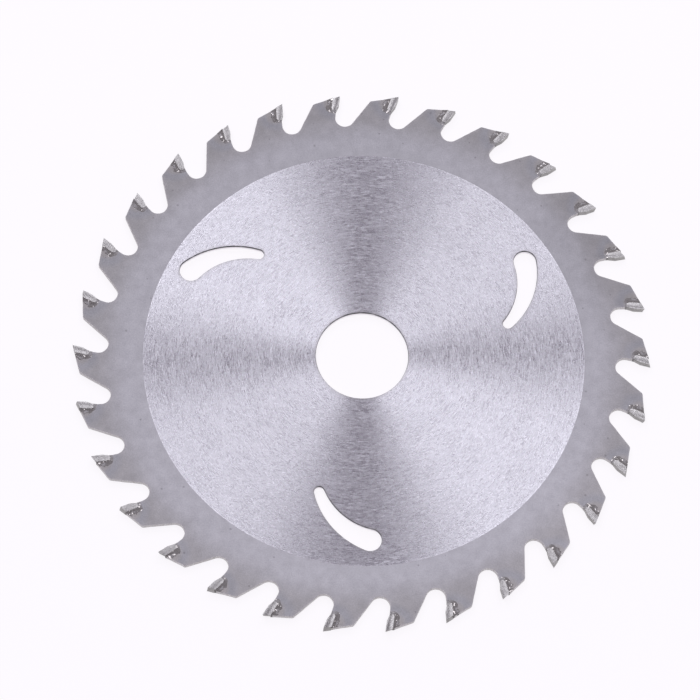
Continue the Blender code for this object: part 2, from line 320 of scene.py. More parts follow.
def tangent_point(point, centre, radius, turn):
    """Where a line from the point touches a circle, on the side that turn picks."""
    away = point - centre
    direction = math.atan2(away.y, away.x) + turn * math.acos(radius / away.length)
    return centre + radius * unit(direction)


def crossing(point, along, other, other_along):
    """Where two lines cross, each given by a point and a direction."""
    normal = side_of(other_along)
    return point + along * (other - point).dot(normal) / along.dot(normal)


def sides(loop):
    """The sides of a closed loop, each as its two ends."""
    return list(zip(loop, loop[1:] + loop[:1]))


def spaced(points, step):
    """A closed loop with further points, so that none is further than step from the next."""
    dense = []
    for here, there in sides(points):
        pieces = max(1, math.ceil((there - here).length / step))
        dense += [here.lerp(there, piece / pieces) for piece in range(pieces)]
    return dense


def metal_on_left(points, is_hole):
    """The closed loop in the direction that has the metal on its left."""
    area = sum(here.cross(there) for here, there in sides(points))
    return points[::-1] if (area > 0) == is_hole else points


def inset(points, distances):
    """A closed loop moved to its left, with one distance for each point."""
    moved = []
    for before, here, after, shift in zip(points[-1:] + points[:-1], points, points[1:] + points[:1],
                                          distances):
        first = side_of((here - before).normalized())
        second = side_of((after - here).normalized())
        middle = first + second
        moved.append(here + middle * shift * 2 / max(middle.length_squared, 1.0))
    return moved


def wavy(points, height, wave_length):
    """A closed loop that wanders a little, as a cut edge does."""
    shifts = [height * noise.noise(point.to_3d() / wave_length) for point in points]
    return inset(points, shifts)


# Outlines of the blade

class ToothForm:
    """The places that a tooth, its seat, its tip and its braze share.

    In the tooth frame the first axis is the cutting direction and the second runs outward through the
    cutting corner. In the tip frame, behind is the distance back from the rake face and down is the
    distance along it from the corner.
    """

    GULLET_STEPS = 28
    CORNER_STEPS = 8

    def __init__(self, scene):
        self.plate = scene.saw_plate
        self.tooth = scene.saw_tooth
        self.tip = scene.saw_tip
        self.pitch = math.tau / self.tooth.count
        self.corner = Vector((0.0, self.plate.cutting_diameter / 2))
        hook = self.tooth.hook_angle
        self.along = Vector((math.sin(hook), math.cos(hook)))
        self.behind = side_of(self.along)

    def at_tip(self, behind, down):
        """A place in the tip frame, as a point of the tooth frame."""
        return self.corner + self.behind * behind - self.along * down

    def back_line(self):
        """A point of the tooth's straight back behind the tip, and its direction."""
        top_slope = -unit(self.tip.top_clearance)
        tip_back = crossing(self.corner, top_slope, self.at_tip(self.tip.tip_thickness, 0.0), self.along)
        return tip_back - Vector((0.0, self.tooth.body_step)), -unit(self.tooth.body_relief)

    def back_depth(self, behind):
        """Distance down the tip frame at which the tooth's back lies."""
        point, slope = self.back_line()
        met = crossing(point, slope, self.at_tip(behind, 0.0), self.along)
        return (self.corner - met).dot(self.along)

    def seat_corners(self):
        """Nose, inner corner and top of the seat that the tip stands in."""
        wall = self.tip.tip_thickness + self.tooth.seat_gap
        ledge = self.tip.tip_length + self.tooth.seat_gap
        top = self.at_tip(wall, self.back_depth(wall))
        return self.at_tip(self.tooth.nose_setback, ledge), self.at_tip(wall, ledge), top

    def gullet_centre(self):
        """Centre of the gullet before the tooth."""
        nose = self.seat_corners()[0]
        lean = self.tooth.face_lean
        radius = self.tooth.gullet_radius
        height = nose.y - self.tooth.gullet_below_nose + radius
        front = nose.x - (nose.y - height) * math.tan(lean)
        return Vector((front + radius / math.cos(lean), height))

    def tooth_outline(self):
        """One tooth, from the gullet before it to its shoulder."""
        gullet = self.gullet_centre()
        radius = self.tooth.gullet_radius
        nose, inner, top = self.seat_corners()
        back_point, back_slope = self.back_line()
        shoulder = back_point + back_slope * (back_point.x + self.tooth.tooth_length) / -back_slope.x
        next_foot = tangent_point(shoulder, turned(gullet, self.pitch), radius, -1)
        front_foot = tangent_point(nose, gullet, radius, 1)
        points = arc(gullet, turned(next_foot, -self.pitch), front_foot, self.GULLET_STEPS, -1)
        points.append(nose)
        points += fillet(nose, inner, top, self.tip.heel_radius + self.tooth.seat_gap, self.CORNER_STEPS)
        points.append(top)
        points += fillet(top, shoulder, next_foot, self.tooth.shoulder_radius, self.CORNER_STEPS)
        return points

    def rim(self):
        """The plate's outer outline, with a cutting corner on +X."""
        tooth = self.tooth_outline()
        return [turned(point, number * self.pitch - math.pi / 2)
                for number in range(self.tooth.count) for point in tooth]


def slot_outline(form, slot):
    """One expansion slot: the edge of a circle that shrinks as it runs along a bowed line."""
    side_steps = 30
    end_steps = 24
    outer_radius = form.gullet_centre().length - form.tooth.gullet_radius - slot.rim_distance
    outer_end = outer_radius * unit(slot.first_angle)
    inner_end = (outer_radius - slot.depth) * unit(slot.first_angle - slot.sweep)
    chord = inner_end - outer_end
    toward_bore = -side_of(chord).normalized()
    depth = math.sqrt(slot.bow_radius ** 2 - (chord.length / 2) ** 2)
    bow_centre = (outer_end + inner_end) / 2 + toward_bore * depth
    line = arc(bow_centre, outer_end, inner_end, side_steps, -1)
    line_length = slot.bow_radius * 2 * math.asin(chord.length / 2 / slot.bow_radius)
    lean = math.asin((slot.outer_width - slot.inner_width) / 2 / line_length)
    outer_side = []
    inner_side = []
    for step, point in enumerate(line):
        half_width = (slot.outer_width + (slot.inner_width - slot.outer_width) * step / side_steps) / 2
        outward = (point - bow_centre).normalized()
        lift = -side_of(outward) * math.sin(lean)
        outer_side.append(point + half_width * (lift + outward * math.cos(lean)))
        inner_side.append(point + half_width * (lift - outward * math.cos(lean)))
    inner_cap = arc(inner_end, outer_side[-1], inner_side[-1], end_steps, -1)
    outer_cap = arc(outer_end, inner_side[0], outer_side[0], end_steps, -1)
    return outer_side[:-1] + inner_cap + inner_side[-2:0:-1] + outer_cap[:-1]


# Meshes

BORE_STEPS = 256
DISC_STEPS = 360
BORE_CENTRE = Vector((0.0, 0.0))
DISC_FINISH, RING_FINISH, CUT_FINISH = range(3)


def filled(loops, inner_points):
    """Triangles on the left of closed loops, as numbers into all the points in a row."""
    points = [point / MM for loop in loops for point in loop] + [point / MM for point in inner_points]
    walls = []
    start = 0
    for loop in loops:
        walls += sides(list(range(start, start + len(loop))))
        start += len(loop)
    inside_outline = 1
    merge_distance = 1e-6
    made = geometry.delaunay_2d_cdt(points, walls, [], inside_outline, merge_distance)
    made_faces, sources = made[2:4]
    faces = [tuple(sources[corner][0] for corner in face) for face in made_faces]
    owner = {side: face for face in faces for side in sides(face)}
    barred = set(walls)
    waiting = [owner[wall] for wall in walls if wall in owner]
    found = set()
    while waiting:
        face = waiting.pop()
        if face not in found:
            found.add(face)
            waiting += [owner[side[::-1]] for side in sides(face)
                        if side not in barred and side[::-1] in owner]
    return [face for face in faces if face in found]


def tree_of(points):
    """A search tree of flat points."""
    tree = kdtree.KDTree(len(points))
    for number, point in enumerate(points):
        tree.insert(point.to_3d(), number)
    tree.balance()
    return tree


def nearest(tree, point):
    """Flat distance from a point to the nearest one in a tree."""
    return tree.find(Vector((point.x, point.y, 0.0)))[2]


def grid_points(plate, edge_tree):
    """Points for the inside of the faces, on rings round the bore, close together near the edges."""
    step = plate.fine_grid
    clear = step * 0.6
    rings = int((plate.cutting_diameter - plate.bore_diameter) / 2 / step)
    points = []
    for ring in range(1, rings):
        radius = plate.bore_diameter / 2 + ring * step
        count = int(math.tau * radius / step / 2) * 2
        for number in range(count):
            point = radius * unit(math.tau * (number + ring % 2 / 2) / count)
            gap = nearest(edge_tree, point)
            is_coarse = ring % 3 == 0 and number % 3 == 0
            if gap > clear and (gap < plate.fine_reach or is_coarse):
                points.append(point)
    return points


def plate_cuts(form, slot):
    """The loops that the plate is cut along: the rim, the bore and the slots."""
    plate = form.plate
    bore = circle(BORE_CENTRE, plate.bore_diameter / 2, BORE_STEPS)
    outline = slot_outline(form, slot)
    holes = [bore] + [[turned(point, math.tau * number / slot.count) for point in outline]
                      for number in range(slot.count)]
    rim = metal_on_left(spaced(form.rim(), plate.point_spacing), False)
    rim = wavy(rim, plate.edge_waviness, plate.wave_length)
    return [rim] + [metal_on_left(hole, True) for hole in holes]


def wall_profile(plate):
    """Points of the cut wall from the upper face to the lower one: shift into the metal, and height."""
    half = plate.thickness / 2
    rounding = plate.edge_round
    midway = rounding * 0.29
    upper = [(rounding, half), (midway, half - midway), (0.0, half - rounding)]
    return upper + [(shift, -height) for shift, height in reversed(upper)]


class Skin:
    """The plate's points and faces as they are gathered, with the finish of each face."""

    def __init__(self):
        self.points = []
        self.faces = []
        self.finishes = []

    def add_points(self, flat_points, height):
        """Add points at a height and give their numbers."""
        first = len(self.points)
        self.points += [Vector((point.x, point.y, height)) for point in flat_points]
        return list(range(first, len(self.points)))

    def add_face(self, corners, finish):
        """Add a face with its finish."""
        self.faces.append(tuple(corners))
        self.finishes.append(finish)

    def add_wall(self, loop, profile):
        """Add the wall along a cut and give the numbers of its points beside the two faces."""
        rows = [self.add_points(inset(loop, [shift] * len(loop)), height) for shift, height in profile]
        for upper, lower in zip(rows, rows[1:]):
            for (high, next_high), (low, next_low) in zip(sides(upper), sides(lower)):
                self.add_face((high, low, next_low, next_high), CUT_FINISH)
        return rows[0], rows[-1]

    def add_zone(self, loops, inner, side, finish):
        """Fill a flat zone between loops and through inner points; side is 1 for the upper face."""
        numbers = [number for loop in loops for number in loop] + inner
        flat = [self.points[number].to_2d() for number in numbers]
        starts = [sum(len(loop) for loop in loops[:which]) for which in range(len(loops) + 1)]
        flat_loops = [flat[first:last] for first, last in zip(starts, starts[1:])]
        for face in filled(flat_loops, flat[starts[-1]:]):
            self.add_face([numbers[corner] for corner in face[::side]], finish)

    def mesh(self, name):
        """The gathered mesh, without the points that no face uses."""
        made = bpy.data.meshes.new(name)
        made.from_pydata(self.points, [], self.faces)
        made.polygons.foreach_set("material_index", self.finishes)
        made.polygons.foreach_set("use_smooth", [finish == CUT_FINISH for finish in self.finishes])
        body = bmesh.new()
        body.from_mesh(made)
        unused = [vertex for vertex in body.verts if not vertex.link_faces]
        bmesh.ops.delete(body, geom=unused, context="VERTS")
        body.to_mesh(made)
        body.free()
        return made


def note_distances(mesh, name, tree):
    """Keep the distance to the nearest point of a tree, in millimetres, at each point of a mesh."""
    gaps = mesh.attributes.new(name, "FLOAT", "POINT")
    gaps.data.foreach_set("value", [nearest(tree, vertex.co) / MM for vertex in mesh.vertices])


def plate_mesh(scene):
    """The plate: two faces, each with a ground disc and a blasted ring, and walls with broken edges."""
    form = ToothForm(scene)
    plate = form.plate
    cuts = plate_cuts(form, scene.saw_slot)
    edge_tree = tree_of([point for loop in cuts for point in loop])
    tip_tree = tree_of([turned(form.at_tip(form.tip.tip_thickness, form.tip.tip_length / 2),
                               number * form.pitch - math.pi / 2) for number in range(form.tooth.count)])
    centre = Vector(plate.disc_offset)
    disc = circle(centre, plate.disc_radius, DISC_STEPS)
    disc_tree = tree_of(disc)
    inner = [point for point in grid_points(plate, edge_tree)
             if nearest(disc_tree, point) > plate.fine_grid * 0.5]
    in_disc = [point for point in inner if (point - centre).length < plate.disc_radius]
    in_ring = [point for point in inner if (point - centre).length > plate.disc_radius]

    skin = Skin()
    walls = [skin.add_wall(loop, wall_profile(plate)) for loop in cuts]
    for side in (1, -1):
        height = side * plate.thickness / 2
        disc_edge = skin.add_points(disc, height)
        disc_points = skin.add_points(in_disc, height)
        ring_points = skin.add_points(in_ring, height)
        rim, *holes = [wall[0 if side > 0 else -1] for wall in walls]
        skin.add_zone([rim, disc_edge[::-1]], ring_points, side, RING_FINISH)
        skin.add_zone([disc_edge, *holes], disc_points, side, DISC_FINISH)

    mesh = skin.mesh("blade_plate")
    note_distances(mesh, "edge_distance", edge_tree)
    note_distances(mesh, "tip_distance", tip_tree)
    return mesh


def smooth_mesh(shape, name, sharp_angle):
    """A mesh of a shape, smooth but for the edges that are sharper than an angle in degrees."""
    mesh = bpy.data.meshes.new(name)
    shape.to_mesh(mesh)
    shape.free()
    mesh.polygons.foreach_set("use_smooth", [True] * len(mesh.polygons))
    mesh.set_sharp_from_angle(angle=math.radians(sharp_angle))
    return mesh


def grind(tip, point, normal):
    """Cut away what lies past a plane and close the flat that is left."""
    everything = tip.verts[:] + tip.edges[:] + tip.faces[:]
    cut = bmesh.ops.bisect_plane(tip, geom=everything, dist=1e-7, plane_co=point, plane_no=normal,
                                 clear_outer=True)
    rim = [item for item in cut["geom_cut"] if isinstance(item, bmesh.types.BMEdge)]
    bmesh.ops.edgeloop_fill(tip, edges=rim)


def tip_mesh(form, name, high_side):
    """A carbide tip: a rectangular blank with a round heel, ground on its top, sides and front.

    Its origin is at the cutting edge in the middle of the kerf, X is the cutting direction and Y
    points outward. The cutting corner is on the face that high_side gives, 1 or -1.
    """
    heel_steps = 8
    ground_corner = math.radians(14.0)
    sizes = form.tip
    along = form.along.to_3d()
    behind = form.behind.to_3d()
    across = Vector((0.0, 0.0, 1.0))
    stock = sizes.tip_thickness
    middle = behind * stock / 2 + along * (stock - sizes.tip_length) / 2
    edges = Matrix((behind * stock, along * (sizes.tip_length + stock), across * sizes.kerf))
    tip = bmesh.new()
    bmesh.ops.create_cube(tip, size=1.0, matrix=Matrix.Translation(middle) @ edges.transposed().to_4x4())
    heel = behind * stock - along * sizes.tip_length
    heel_edge = min(tip.edges, key=lambda edge: ((edge.verts[0].co + edge.verts[1].co) / 2 - heel).length)
    bmesh.ops.bevel(tip, geom=[heel_edge], offset=sizes.heel_radius, segments=heel_steps, profile=0.5,
                    affect="EDGES", clamp_overlap=False)

    corner = across * high_side * sizes.kerf / 2
    top = Vector((-math.tan(sizes.top_clearance), 1.0, -high_side * math.tan(sizes.top_bevel)))
    grind(tip, corner, top)
    for side in (1, -1):
        slope = behind * math.tan(sizes.tangential_clearance) - along * math.tan(sizes.radial_clearance)
        grind(tip, across * side * sizes.kerf / 2, slope + across * side)
    relief = -behind * math.cos(sizes.front_relief) - along * math.sin(sizes.front_relief)
    grind(tip, -along * sizes.rake_length, relief)
    bmesh.ops.recalc_face_normals(tip, faces=tip.faces)

    sharp = [edge for edge in tip.edges if edge.calc_face_angle(0.0) > ground_corner]
    bmesh.ops.bevel(tip, geom=sharp, offset=sizes.edge_break, segments=2, profile=0.5, affect="EDGES",
                    clamp_overlap=True)
    return smooth_mesh(tip, name, sharp_angle=30.0)


class Bead:
    """The bead of braze behind and under one tip, with the origin and axes of the tip.

    It is a grid: rows run from the top of the tip's back round the heel to its foot, and columns go
    from the tip outward. Each place in the grid has a point on either face of the plate.
    """

    ROWS = 42
    COLUMNS = 12
    # Depth of the outer edge in the plate, and of the bead's top below the tooth's back
    SINK = 0.05 * MM
    BELOW_BACK = 0.02 * MM
    # Power with which the bead falls away outward
    FALL = 1.4

    def __init__(self, form, sizes, number):
        self.form = form
        self.sizes = sizes
        self.seed = Vector((number * 3.7, number * 1.9, 0.0))
        tip = form.tip
        self.back_length = tip.tip_length - tip.heel_radius - form.back_depth(tip.tip_thickness)
        self.heel_length = tip.heel_radius * math.pi / 2
        foot_length = tip.tip_thickness - tip.heel_radius - form.tooth.nose_setback
        self.whole_length = self.back_length + self.heel_length + foot_length

    def start(self, run):
        """Where the bead meets the tip, the direction away from it, and how far round the heel it is."""
        tip = self.form.tip
        turn = min(max((run - self.back_length) / self.heel_length, 0.0), 1.0)
        facing = unit(turn * math.pi / 2)
        place = Vector((tip.tip_thickness - tip.heel_radius, tip.tip_length - tip.heel_radius))
        place += facing * tip.heel_radius
        place.x -= max(run - self.back_length - self.heel_length, 0.0)
        place.y -= max(self.back_length - run, 0.0)
        return place, facing, turn

    def heights(self, place, part):
        """Heights of the bead over the middle of the plate, on its two faces."""
        tip = self.form.tip
        half_plate = self.form.plate.thickness / 2
        flank = tip.kerf / 2 - place.y * math.tan(tip.radial_clearance)
        flank -= tip.tip_thickness * math.tan(tip.tangential_clearance) + self.sizes.drop
        found = []
        for face in (1, -1):
            cell = Vector((place.x, place.y, face * MM)) / self.sizes.lump_size + self.seed
            lump = noise.noise(cell) + 0.5 * noise.noise(cell * 2.3)
            lump_share = math.sin(math.pi * min(part * 1.15 + 0.1, 1.0))
            rise = half_plate + (flank - half_plate) * (1 - part) ** self.FALL
            rise += self.sizes.lump_height * lump * lump_share
            found.append(face * (half_plate - self.SINK if part == 1.0 else rise))
        return found

    def row(self, step):
        """Flat places and heights along one row."""
        sizes = self.sizes
        run = self.whole_length * step / self.ROWS
        start, facing, turn = self.start(run)
        width = sizes.width_behind * (1 - turn) + sizes.width_below * turn
        ragged = noise.noise(Vector((run / sizes.lump_size, 0.0, 0.0)) * 0.9 + self.seed)
        width *= 1 + sizes.ragged * ragged * 2
        places = []
        for column in range(self.COLUMNS + 1):
            part = column / self.COLUMNS
            place = start + facing * (part * (width + sizes.overlap) - sizes.overlap)
            if turn == 0.0:
                lowest = self.form.back_depth(place.x) + self.BELOW_BACK
                place.y = max(place.y, lowest) if step else lowest
            flat = self.form.at_tip(place.x, place.y) - self.form.corner
            places.append((flat, self.heights(place, part)))
        return places

    def mesh(self, name):
        """The bead's mesh, which keeps how far across and down the bead each point is."""
        bead = bmesh.new()
        across = bead.verts.layers.float.new("across")
        down = bead.verts.layers.float.new("down")
        grid = []
        for step in range(self.ROWS + 1):
            pairs = []
            for column, (flat, heights) in enumerate(self.row(step)):
                pairs.append([bead.verts.new((flat.x, flat.y, height)) for height in heights])
                for vertex in pairs[-1]:
                    vertex[across] = column / self.COLUMNS
                    vertex[down] = step / self.ROWS
            grid.append(pairs)
        for here, there in zip(grid, grid[1:]):
            for column in range(self.COLUMNS):
                for face in (0, 1):
                    bead.faces.new((here[column][face], here[column + 1][face],
                                    there[column + 1][face], there[column][face]))
            for column in (0, self.COLUMNS):
                bead.faces.new((*here[column], *there[column][::-1]))
        for end in (grid[0], grid[-1]):
            for first, second in zip(end, end[1:]):
                bead.faces.new((*first, *second[::-1]))
        bmesh.ops.recalc_face_normals(bead, faces=bead.faces)
        return smooth_mesh(bead, name, sharp_angle=50.0)


# Node materials

class Value:
    """What a node puts out. Reckoning with it adds a node and gives what that one puts out."""

    def __init__(self, tree, socket):
        self.tree = tree
        self.socket = socket

    def __add__(self, other):
        return self.tree.reckon("ADD", self, other)

    def __sub__(self, other):
        return self.tree.reckon("SUBTRACT", self, other)

    def __mul__(self, other):
        return self.tree.reckon("MULTIPLY", self, other)

    def __truediv__(self, other):
        return self.tree.reckon("DIVIDE", self, other)

    def __pow__(self, other):
        return self.tree.reckon("POWER", self, other)

    def __abs__(self):
        return self.tree.reckon("ABSOLUTE", self)

    def largest(self, other):
        """The larger of two numbers."""
        return self.tree.reckon("MAXIMUM", self, other)

    def length(self):
        """The length of a vector."""
        return self.tree.value("ShaderNodeVectorMath", "Value", {0: self}, operation="LENGTH")

    def apart(self):
        """The three numbers of a vector or colour."""
        made = self.tree.node("ShaderNodeSeparateXYZ", {"Vector": self})
        return [Value(self.tree, socket) for socket in made.outputs]

    def remap(self, low, high, to_low=0.0, to_high=1.0, curve="LINEAR"):
        """A number brought from one range to another and held in it."""
        inputs = {"Value": self, "From Min": low, "From Max": high, "To Min": to_low, "To Max": to_high}
        return self.tree.value("ShaderNodeMapRange", "Result", inputs, interpolation_type=curve,
                               clamp=True)

    def smooth(self, low, high):
        """A number brought to the range from 0 to 1, with a soft start and end."""
        return self.remap(low, high, curve="SMOOTHSTEP")

    def toward(self, colour, factor):
        """A colour mixed with another."""
        return self.tree.mix(factor, self, colour)

    def tinted(self, tint, factor=1.0):
        """A colour multiplied by a tint, or by a number."""
        return self.tree.mix(factor, self, tint, "MULTIPLY")


class Tree:
    """A node tree that is written step by step."""

    def __init__(self, tree):
        self.nodes = tree.nodes
        self.links = tree.links
        self.nodes.clear()

    def put(self, socket, value):
        """Link a value into a socket, or set the socket's own."""
        if isinstance(value, Value):
            value = value.socket
        if isinstance(value, bpy.types.NodeSocket):
            self.links.new(value, socket)
        elif socket.type == "RGBA":
            socket.default_value = (*value, 1.0)
        elif socket.type == "VECTOR" and isinstance(value, float):
            socket.default_value = (value, value, value)
        else:
            socket.default_value = value

    def node(self, kind, inputs=None, **settings):
        """A node with its settings and inputs."""
        made = self.nodes.new(kind)
        for name, value in settings.items():
            setattr(made, name, value)
        for name, value in (inputs or {}).items():
            self.put(made.inputs[name], value)
        return made

    def value(self, kind, output, inputs=None, **settings):
        """One output of a new node."""
        return Value(self, self.node(kind, inputs, **settings).outputs[output])

    def reckon(self, operation, first, *second):
        """The result of two numbers, two vectors, or a vector and a number; or of one alone."""
        kind = "ShaderNodeMath" if first.socket.type == "VALUE" else "ShaderNodeVectorMath"
        return self.value(kind, 0, dict(enumerate((first, *second))), operation=operation)

    def mix(self, factor, first, second, blend="MIX"):
        """A mix of two colours."""
        return self.value("ShaderNodeMix", 2, {0: factor, 6: first, 7: second}, data_type="RGBA",
                          blend_type=blend)

    def noise(self, place, detail, roughness, scale=1.0, distortion=0.0):
        """Fractal noise, about one half on average."""
        inputs = {"Vector": place, "Scale": scale, "Detail": detail, "Roughness": roughness,
                  "Distortion": distortion}
        return self.value("ShaderNodeTexNoise", "Fac", inputs, noise_dimensions="3D")

    def together(self, x, y, z):
        """A vector of three numbers."""
        return self.value("ShaderNodeCombineXYZ", "Vector", {"X": x, "Y": y, "Z": z})


# Effects that the materials share. Positions and lengths are in millimetres.

def circular_grind(tree, position, line_length, line_width):
    """Short lines ground in circles round the bore. Each groove has lines of its own."""
    flat = position * (1.0, 1.0, 0.0)
    radius = flat.length()
    height = position.apart()[2]

    def lines(longer, wider):
        length = line_length * longer
        width = line_width * wider
        groove = tree.reckon("FLOOR", radius / width)
        level = groove * 3.7 + height * 40.0
        turns = groove * width / (radius * length)
        return tree.noise(flat * turns + tree.together(0.0, 0.0, level), 1.0, 0.55)

    mixed = lines(1.0, 1.0) * 0.50 + lines(1.8, 1.25) * 0.37 + lines(4.5, 1.1) * 0.13
    return {"Lines": mixed.remap(0.41, 0.59), "Depth": mixed}


def grain_and_clouds(tree, position, grain_size, cloud_size, pit_size):
    """Fine grain, broad clouds, and a few small ragged pits that differ on the two faces."""
    fine = position / grain_size
    lower_shift = tree.reckon("SIGN", position.apart()[2]) * 61.0
    shifted = position + tree.together(lower_shift, 0.0, 0.0)
    ragged = tree.value("ShaderNodeTexNoise", "Color", {"Vector": fine, "Scale": 0.4}) * 0.25
    cells = tree.node("ShaderNodeTexVoronoi", {"Vector": shifted / pit_size + ragged, "Scale": 0.16},
                      feature="F1", voronoi_dimensions="2D")
    chance, size = Value(tree, cells.outputs["Color"]).apart()[:2]
    reach = size.remap(0.0, 1.0, 0.03, 0.075)
    pits = chance.remap(0.68, 0.70) * Value(tree, cells.outputs["Distance"]).remap(reach, 0.015)
    clouds = tree.noise(position / cloud_size, 3.0, 0.5).remap(0.3, 0.7)
    return {"Grain": tree.noise(fine, 3.0, 0.7), "Clouds": clouds, "Pits": pits}


def handling_scratches(tree, position, spacing):
    """A few fine straight scratches in three directions."""
    masks = []
    for turn, shift in ((0.62, 11.0), (2.05, 47.0), (1.31, 83.0)):
        turned_place = tree.value("ShaderNodeVectorRotate", "Vector", {"Vector": position, "Angle": turn},
                                  rotation_type="Z_AXIS")
        drawn = turned_place / tree.together(spacing * 6.0, spacing * 0.05, 1.0) + (0.0, 0.0, shift)
        masks.append(tree.noise(drawn, 1.0, 0.5, distortion=0.05).remap(0.73, 0.80))
    return {"Scratches": masks[0].largest(masks[1]).largest(masks[2])}


def edge_wear_and_stain(tree, position, edge_distance, wear_width, stain_width):
    """Bright wear on an edge, and a stain beside it."""
    patchy = tree.noise(position, 3.0, 0.6, scale=1.6)
    wear_reach = wear_width * patchy.remap(0.3, 0.7, 0.3, 1.6)
    stain_reach = stain_width * patchy.remap(0.3, 0.7, 0.6, 1.4)
    return {"Wear": edge_distance.remap(wear_reach, 0.0), "Stain": edge_distance.smooth(stain_reach, 0.0)}


EFFECTS = {
    "Circular Grind": (circular_grind, ("Position", "Line Length", "Line Width")),
    "Grain and Clouds": (grain_and_clouds, ("Position", "Grain Size", "Cloud Size", "Pit Size")),
    "Handling Scratches": (handling_scratches, ("Position", "Spacing")),
    "Edge Wear and Stain": (edge_wear_and_stain,
                            ("Position", "Edge Distance", "Wear Width", "Stain Width")),
}


def effect_group(name):
    """The node group of a shared effect, made when it is first asked for."""
    if name not in bpy.data.node_groups:
        maker, labels = EFFECTS[name]
        group = bpy.data.node_groups.new(name, "ShaderNodeTree")
        for label in labels:
            kind = "NodeSocketVector" if label == "Position" else "NodeSocketFloat"
            group.interface.new_socket(label, in_out="INPUT", socket_type=kind)
        tree = Tree(group)
        entry = tree.node("NodeGroupInput").outputs
        effects = maker(tree, *[Value(tree, entry[label]) for label in labels])
        for label in effects:
            group.interface.new_socket(label, in_out="OUTPUT", socket_type="NodeSocketFloat")
        tree.node("NodeGroupOutput", effects)
    return bpy.data.node_groups[name]


def new_material(name):
    """A new material and its empty node tree."""
    made = bpy.data.materials.new(name)
    made.use_nodes = True
    return made, Tree(made.node_tree)


class Metal:
    """A metal material in the making."""

    def __init__(self, name):
        self.material, self.tree = new_material(name)
        self.position = self.tree.value("ShaderNodeTexCoord", "Object") * (1 / MM)
        self.shader = self.tree.node("ShaderNodeBsdfPrincipled", {"Metallic": 1.0})
        self.tree.node("ShaderNodeOutputMaterial", {"Surface": self.shader.outputs["BSDF"]})

    def own_position(self):
        """The position in millimetres, shifted so that each of many like pieces looks different."""
        return self.position + self.tree.value("ShaderNodeObjectInfo", "Location") * (1 / MM)

    def radius(self, centre=(0.0, 0.0, 0.0)):
        """Distance from the blade's axis, or from another one, in millimetres."""
        return ((self.position - centre) * (1.0, 1.0, 0.0)).length()

    def kept(self, name):
        """A number that the mesh keeps at its points."""
        return self.tree.value("ShaderNodeAttribute", "Fac", attribute_name=name)

    def effect(self, name, **inputs):
        """The outputs of a shared effect at this metal's position, unless another is given."""
        labelled = {label.replace("_", " ").title(): value for label, value in inputs.items()}
        made = self.tree.node("ShaderNodeGroup", {"Position": self.position} | labelled,
                              node_tree=effect_group(name))
        return {socket.name: Value(self.tree, socket) for socket in made.outputs}

    def draw_gloss(self, direction, tangent):
        """Stretch the gloss across lines that run along the tangent."""
        quarter_turn = 0.25
        self.shader.inputs["Anisotropic"].default_value = direction
        self.shader.inputs["Anisotropic Rotation"].default_value = quarter_turn
        self.tree.put(self.shader.inputs["Tangent"], tangent)

    def finished(self, tone, rough, height, depth):
        """The material, with its colour, roughness, and a bump of a depth in millimetres."""
        raised = self.tree.value("ShaderNodeBump", "Normal", {"Height": height, "Distance": depth * MM})
        for name, value in (("Base Color", tone), ("Roughness", rough), ("Normal", raised)):
            self.tree.put(self.shader.inputs[name], value)
        return self.material


def ground_disc(finish, plate):
    """Steel ground in circles, whose gloss is drawn across the lines, with a painted highlight, a broken
    bright line, at its rim.
    """
    line_inset = 0.12
    metal = Metal("ground_steel_disc")
    tree = metal.tree
    lines = metal.effect("Circular Grind", line_length=finish.line_length / MM,
                         line_width=finish.line_width / MM)
    grain = metal.effect("Grain and Clouds", grain_size=0.25, cloud_size=9.0, pit_size=1.2)
    scratches = metal.effect("Handling Scratches", spacing=2.6)
    edges = metal.effect("Edge Wear and Stain", edge_distance=metal.kept("edge_distance"),
                         wear_width=0.10, stain_width=0.85)

    # Deep lines are dull and shallow ones bright, and more so in some patches than in others
    strength = tree.noise(metal.position, 3.0, 0.55, scale=0.16).remap(0.36, 0.64, 0.7, 1.3)
    drawn = ((lines["Lines"] - 0.5) * strength).remap(-0.5, 0.5) ** 1.6
    streaks = lines["Depth"].remap(0.565, 0.625)

    # A painted highlight: a bright line, broken in places, runs just inside the edge of the disc
    centre = (Vector(plate.disc_offset) / MM).to_3d()
    rim_gap = abs(metal.radius(centre) - (plate.disc_radius / MM - line_inset))
    broken = tree.noise(metal.position, 3.0, 0.6, scale=0.5).remap(0.42, 0.66, 0.0, 0.6)
    painted_rim_highlight = rim_gap.remap(0.16, 0.06) * broken

    tone = tree.mix(drawn, finish.ground_dark, finish.ground_steel)
    tone = tone.toward(finish.bright_streak, streaks * 0.28)
    tone = tone.toward(finish.ground_dark, grain["Clouds"] * 0.10)
    tone = tone.toward(finish.burnt_steel, edges["Stain"] * 0.25)
    tone = tone.toward(finish.scratched_steel, scratches["Scratches"] * 0.20)
    tone = tone.toward(finish.painted_rim_highlight, painted_rim_highlight)
    tone = tone.tinted(grain["Grain"].remap(0.38, 0.62, 0.86, 1.14))
    rough = drawn.remap(0.0, 1.0, finish.ground_roughness - 0.15, finish.ground_roughness + 0.23)
    rough = rough + edges["Stain"] * 0.10 + painted_rim_highlight * 0.15 + streaks * 0.10
    round_bore = tree.value("ShaderNodeTangent", "Tangent", direction_type="RADIAL", axis="Z")
    metal.draw_gloss(finish.ground_direction, round_bore)
    return metal.finished(tone, rough, lines["Depth"], 0.010)


